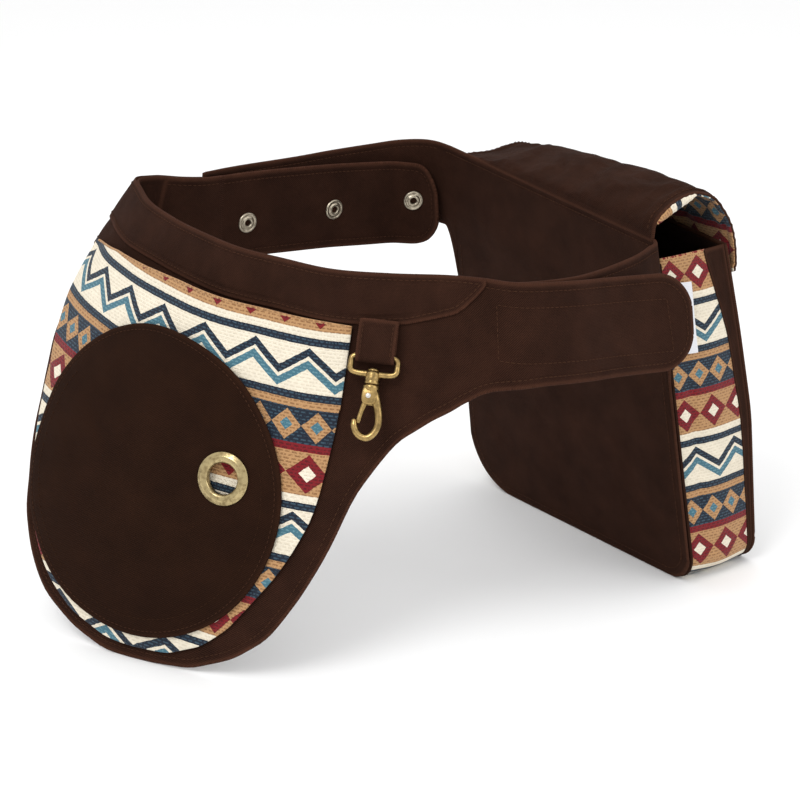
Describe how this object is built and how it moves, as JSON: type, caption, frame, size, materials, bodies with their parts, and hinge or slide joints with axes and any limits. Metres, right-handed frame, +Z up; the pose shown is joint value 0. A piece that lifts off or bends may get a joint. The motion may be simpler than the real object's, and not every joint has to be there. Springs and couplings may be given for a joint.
{
  "type": "dog training hip belt with treat pouches",
  "caption": "Fabric hip belt closing into a loop: a flat round-bottomed treat pocket with a swivel snap hook, and a deep boxed pouch with a fold-over flap.",
  "frame": {"origin": "on the resting plane, below the centre of the bounding box", "axes": "+Z up, towards the waist line; -Y towards the snap hook on the front unit; +X towards the boxed rear pouch"},
  "size_m": [0.4121, 0.3214, 0.2278],
  "materials": {
    "brown_canvas": "plain woven cotton canvas, dark brown, matt",
    "woven_print": "woven bands of plain chevrons, diamonds and stripes in cream, tan, dark red, navy and teal",
    "lining_cloth": "thin plain-weave lining, matt",
    "hook_and_loop": "hook-and-loop tape, dark brown",
    "label_tape": "blank white satin label tape",
    "antique_brass": "antique brass plating, satin, worn on the edges",
    "eyelet_brass": "antique brass, polished, light",
    "snap_brass": "antique brass, satin",
    "rivet_steel": "nickel-plated steel",
    "magnet_plating": "nickel-plated magnet disc"
  },
  "bodies": {
    "belt": {"front_panel": "brown_canvas", "waistband_facing": "brown_canvas", "treat_pocket_lining": "lining_cloth", "treat_pocket": "woven_print", "bag_dispenser_patch": "brown_canvas", "dispenser_eyelet": "eyelet_brass", "hook_tab": "brown_canvas", "rear_back_panel": "brown_canvas", "press_socket_1": "snap_brass", "press_socket_2": "snap_brass", "press_socket_3": "snap_brass", "closure_loop_tape": "hook_and_loop", "rear_gusset": "woven_print", "rear_front_panel": "brown_canvas", "rear_lining": "lining_cloth", "rear_seam_cord": "brown_canvas", "pouch_magnet": "magnet_plating", "care_label": "label_tape"},
    "front_tail": {"front_tail": "brown_canvas", "closure_hook_tape": "hook_and_loop"},
    "back_tail": {"back_tail": "brown_canvas", "press_stud_1": "snap_brass", "press_stud_2": "snap_brass", "press_stud_3": "snap_brass"},
    "flap": {"rear_flap": "brown_canvas", "rear_flap_lining": "woven_print", "flap_magnet": "magnet_plating"},
    "hook_bow": {"snap_hook_bow": "antique_brass"},
    "hook": {"snap_hook_body": "antique_brass", "gate_pin": "rivet_steel", "gate_spring": "rivet_steel"},
    "gate": {"snap_hook_gate": "antique_brass"}
  },
  "joints": [
    {"name": "flap_hinge", "type": "hinge", "parent": "belt", "child": "flap", "pos_m": [0.08374, 0.04269, 0.2133], "axis": [0.567, -0.8199, -0.0799], "range_deg": [0, 110], "stiffness_Nm_per_rad": 0.01},
    {"name": "bow_swing", "type": "hinge", "parent": "belt", "child": "hook_bow", "pos_m": [-0.01353, -0.14018, 0.17386], "axis": [-0.9864, 0.1482, 0.0709], "range_deg": [0, 75], "stiffness_Nm_per_rad": 0.002},
    {"name": "hook_swivel", "type": "hinge", "parent": "hook_bow", "child": "hook", "pos_m": [-0.01353, -0.14018, 0.17386], "axis": [0.1296, 0.4372, 0.89], "continuous": true},
    {"name": "gate_hinge", "type": "hinge", "parent": "hook", "child": "gate", "pos_m": [-0.01676, -0.14897, 0.15584], "axis": [-0.1009, -0.8871, 0.4505], "range_deg": [0, 22], "stiffness_Nm_per_rad": 0.02, "deforming": ["gate_spring"]},
    {"name": "front_tail_peel", "type": "hinge", "parent": "belt", "child": "front_tail", "pos_m": [0.04419, -0.13448, 0.18531], "axis": [0.0305, -0.2658, -0.9636], "range_deg": [0, 45], "stiffness_Nm_per_rad": 0.02},
    {"name": "back_tail_peel", "type": "hinge", "parent": "belt", "child": "back_tail", "pos_m": [-0.10413, 0.04946, 0.19501], "axis": [-0.0568, 0.073, -0.9957], "range_deg": [0, 40], "stiffness_Nm_per_rad": 0.02}
  ]
}
